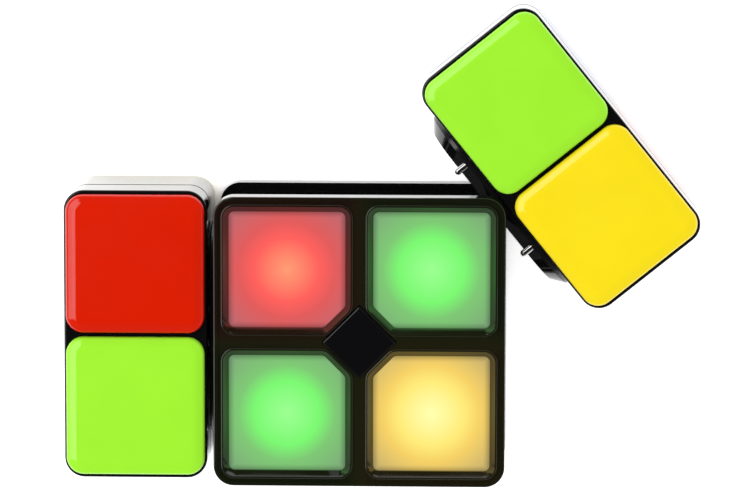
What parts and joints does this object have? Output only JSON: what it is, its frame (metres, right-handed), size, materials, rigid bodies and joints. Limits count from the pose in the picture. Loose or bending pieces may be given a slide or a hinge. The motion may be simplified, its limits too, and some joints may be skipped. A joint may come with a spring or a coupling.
{
  "type": "light-up flip-and-slide puzzle",
  "caption": "Hand-held electronic colour-matching puzzle: a square centre unit with lit windows and a start button, and tiled blocks that slide, swing round its corners and turn over.",
  "frame": {"origin": "middle of the centre unit's back face", "axes": "+X along the row of three pieces towards the right block, +Y up the face, +Z from the back to the lit front"},
  "size_m": [0.1568, 0.1185, 0.037],
  "materials": {
    "black_gloss": "glossy moulded black",
    "smoked_gloss": "glossy smoked black",
    "black_moulded": "satin moulded black",
    "tile_red": "glossy red",
    "tile_green": "glossy lime green",
    "tile_yellow": "glossy yellow",
    "tile_blue": "glossy blue",
    "lens_red": "frosted, lit red",
    "lens_green": "frosted, lit green",
    "lens_yellow": "frosted, lit yellow",
    "white_moulded": "white moulded",
    "circuit_board": "green solder mask",
    "lamp_epoxy": "clear epoxy",
    "silicone": "silicone rubber",
    "steel": "plated steel",
    "pin_plating": "bright plating",
    "cell_jacket": "printed metal jacket, plain",
    "ferrite": "ferrite",
    "cone_film": "plastic film"
  },
  "bodies": {
    "centre_unit": {"rear_housing": "black_gloss", "front_housing": "black_gloss", "front_bezel": "smoked_gloss", "housing_screws": "steel", "lens_top_left": "lens_red", "lens_top_right": "lens_green", "lens_bottom_left": "lens_green", "lens_bottom_right": "lens_yellow", "reflector_tray": "white_moulded", "lamp_board": "circuit_board", "colour_lamps": "lamp_epoxy", "button_dome": "silicone", "controller_chip": "black_moulded", "capacitor": "black_moulded", "battery_cells": "cell_jacket", "battery_contacts": "steel", "speaker_frame": "black_moulded", "speaker_cone": "cone_film", "speaker_magnet": "ferrite", "switch_body": "black_moulded"},
    "start_button": {"start_button": "black_gloss"},
    "power_switch": {"power_switch_knob": "black_moulded"},
    "battery_door": {"battery_door": "black_gloss", "battery_door_screw": "steel"},
    "left_carriage": {"left_carriage_base": "black_moulded", "left_runner": "black_gloss", "left_runner_axle": "steel", "left_guide_pins": "pin_plating", "left_carriage_screw": "steel"},
    "left_block": {"left_block_front_shell": "black_gloss", "left_block_rear_shell": "black_gloss", "left_block_screws": "steel", "left_front_tile_upper": "tile_red", "left_front_tile_lower": "tile_green", "left_rear_tile_upper": "tile_yellow", "left_rear_tile_lower": "tile_blue"},
    "right_carriage": {"right_carriage_base": "black_moulded", "right_runner": "black_gloss", "right_runner_axle": "steel", "right_guide_pins": "pin_plating", "right_carriage_screw": "steel"},
    "right_block": {"right_block_front_shell": "black_gloss", "right_block_rear_shell": "black_gloss", "right_block_screws": "steel", "right_front_tile_upper": "tile_green", "right_front_tile_lower": "tile_yellow", "right_rear_tile_upper": "tile_blue", "right_rear_tile_lower": "tile_red"}
  },
  "joints": [
    {"name": "left_slide", "type": "slide", "parent": "centre_unit", "child": "left_carriage", "axis": [0, 1, 0], "range_m": [-0.03035, 0.02765]},
    {"name": "left_twist", "type": "hinge", "parent": "left_carriage", "child": "left_block", "pos_m": [-0.0554, 0.00135, 0.0185], "axis": [-1, 0, 0], "continuous": true},
    {"name": "right_flip", "type": "hinge", "parent": "centre_unit", "child": "right_carriage", "pos_m": [0.029, 0.029, 0.0185], "axis": [0, 0, 1], "range_deg": [-38.9, 51.1]},
    {"name": "right_twist", "type": "hinge", "parent": "right_carriage", "child": "right_block", "pos_m": [0.029, 0.029, 0.0185], "axis": [0.7782, 0.628, 0], "continuous": true},
    {"name": "start_button_press", "type": "slide", "parent": "centre_unit", "child": "start_button", "axis": [0, 0, -1], "range_m": [0, 0.001], "stiffness_N_per_m": 900, "springref_m": -0.0005, "deforming": ["button_dome"]},
    {"name": "power_switch_slide", "type": "slide", "parent": "centre_unit", "child": "power_switch", "axis": [1, 0, 0], "range_m": [0, 0.003]},
    {"name": "battery_door_lift", "type": "slide", "parent": "centre_unit", "child": "battery_door", "axis": [0, 0, -1], "range_m": [0, 0.015]}
  ]
}
